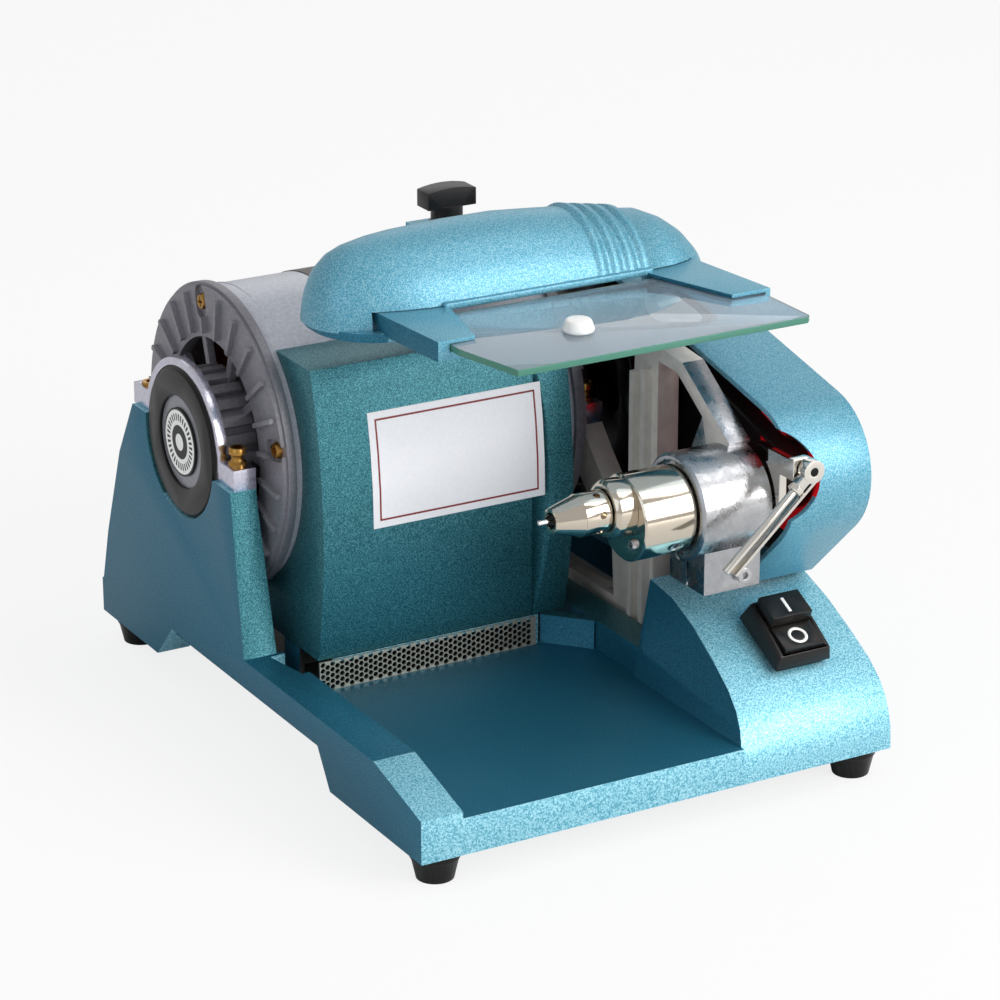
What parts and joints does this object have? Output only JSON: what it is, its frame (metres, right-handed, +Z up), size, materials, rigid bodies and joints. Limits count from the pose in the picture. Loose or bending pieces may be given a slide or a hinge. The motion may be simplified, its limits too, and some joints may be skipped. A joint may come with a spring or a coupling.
{
  "type": "bench collet lathe",
  "caption": "Bench-top belt-driven collet spindle for cutting and grinding small workpieces, with tray, suction grille, lamp hood, glass screen and belt guard.",
  "frame": {"origin": "centre of the machine's footprint box at the level the feet stand on", "axes": "+X along the motor and spindle axes towards the belt guard, -Y towards the operator and the tray, +Z up"},
  "size_m": [0.238, 0.322, 0.241],
  "materials": {
    "teal_hammertone": "gloss",
    "red_paint": "gloss",
    "motor_paint": "satin",
    "bell_alloy": "as cast, dark",
    "cast_alloy": "as cast",
    "polished_steel": "polished",
    "zinc_steel": "zinc plated",
    "dark_steel": "blackened",
    "pulley_iron": "turned",
    "brass": "plain",
    "copper_winding": "lacquered",
    "rubber": "matt",
    "black_plastic": "satin",
    "white_plastic": "gloss",
    "grille": "satin",
    "label": "gloss",
    "nameplate": "satin",
    "screen_glass": "clear",
    "lamp_glass": "frosted"
  },
  "bodies": {
    "frame": {"base_casting": "teal_hammertone", "base_feet": "rubber", "foot_screws": "zinc_steel", "suction_mesh": "grille", "motor_shield": "teal_hammertone", "warning_sticker": "label", "shield_screws": "zinc_steel", "motor_shell": "motor_paint", "motor_nameplate": "nameplate", "left_end_bell": "bell_alloy", "right_end_bell": "bell_alloy", "bell_screws": "brass", "stator_core": "dark_steel", "stator_windings": "copper_winding", "rubber_rings": "rubber", "hub_emblem": "white_plastic", "cradle_straps": "zinc_steel", "strap_screws": "brass", "drive_belt": "rubber", "head_bracket": "cast_alloy", "bracket_bolts": "zinc_steel", "spindle_cartridge": "polished_steel", "nose_collar": "polished_steel", "clamp_screw": "zinc_steel", "cartridge_screws": "zinc_steel", "lever_arm": "polished_steel", "lever_pin": "dark_steel", "belt_guard": "teal_hammertone", "guard_liner": "red_paint", "guard_screws": "zinc_steel", "hood_post": "teal_hammertone", "clamp_stud": "zinc_steel", "switch_body": "black_plastic", "cable_gland": "black_plastic", "motor_bearings": "zinc_steel", "spindle_bearings": "zinc_steel"},
    "rotor": {"rotor_core": "dark_steel", "motor_shaft": "zinc_steel", "motor_pulley": "pulley_iron"},
    "spindle": {"spindle_shaft": "polished_steel", "collet_nut": "polished_steel", "collet": "dark_steel", "shank": "polished_steel", "spindle_pulley": "black_plastic", "spindle_locknut": "polished_steel"},
    "lever": {"lever_eye": "polished_steel", "lever_nut": "polished_steel", "lever_rod": "polished_steel"},
    "hood": {"hood_shell": "teal_hammertone", "hood_frame": "teal_hammertone", "lamp_tube": "lamp_glass", "lamp_holders": "white_plastic", "frame_screws": "brass"},
    "screen": {"glass_screen": "screen_glass", "glass_knob": "white_plastic"},
    "knob": {"clamp_knob": "black_plastic"},
    "key_on_body": {"key_on": "black_plastic"},
    "key_off_body": {"key_off": "black_plastic"}
  },
  "joints": [
    {"name": "motor_spin", "type": "hinge", "parent": "frame", "child": "rotor", "pos_m": [-0.019, 0.068, 0.1285], "axis": [1, 0, 0], "continuous": true},
    {"name": "spindle_spin", "type": "hinge", "parent": "frame", "child": "spindle", "pos_m": [0.031, -0.106, 0.1305], "axis": [1, 0, 0], "continuous": true},
    {"name": "lever_swing", "type": "hinge", "parent": "frame", "child": "lever", "pos_m": [0.081, -0.1475, 0.1475], "axis": [0, 1, 0], "range_deg": [0, 42]},
    {"name": "hood_slide", "type": "slide", "parent": "frame", "child": "hood", "axis": [0, 1, 0], "range_m": [-0.003, 0.003]},
    {"name": "glass_slide", "type": "slide", "parent": "hood", "child": "screen", "axis": [0, -1, 0], "range_m": [0, 0.02]},
    {"name": "knob_turn", "type": "hinge", "parent": "frame", "child": "knob", "pos_m": [0.017, 0.061, 0.218], "axis": [0, 0, 1], "range_deg": [-170, 170]},
    {"name": "key_on_press", "type": "slide", "parent": "frame", "child": "key_on_body", "axis": [0, 0.4384, -0.8988], "range_m": [0, 0.004]},
    {"name": "key_off_press", "type": "slide", "parent": "frame", "child": "key_off_body", "axis": [0, 0.4384, -0.8988], "range_m": [-0.004, 0]}
  ],
  "couplings": [
    {"joint": "spindle_spin", "follows": "motor_spin", "ratio": 4.4564},
    {"joint": "key_off_press", "follows": "key_on_press", "ratio": -1}
  ]
}
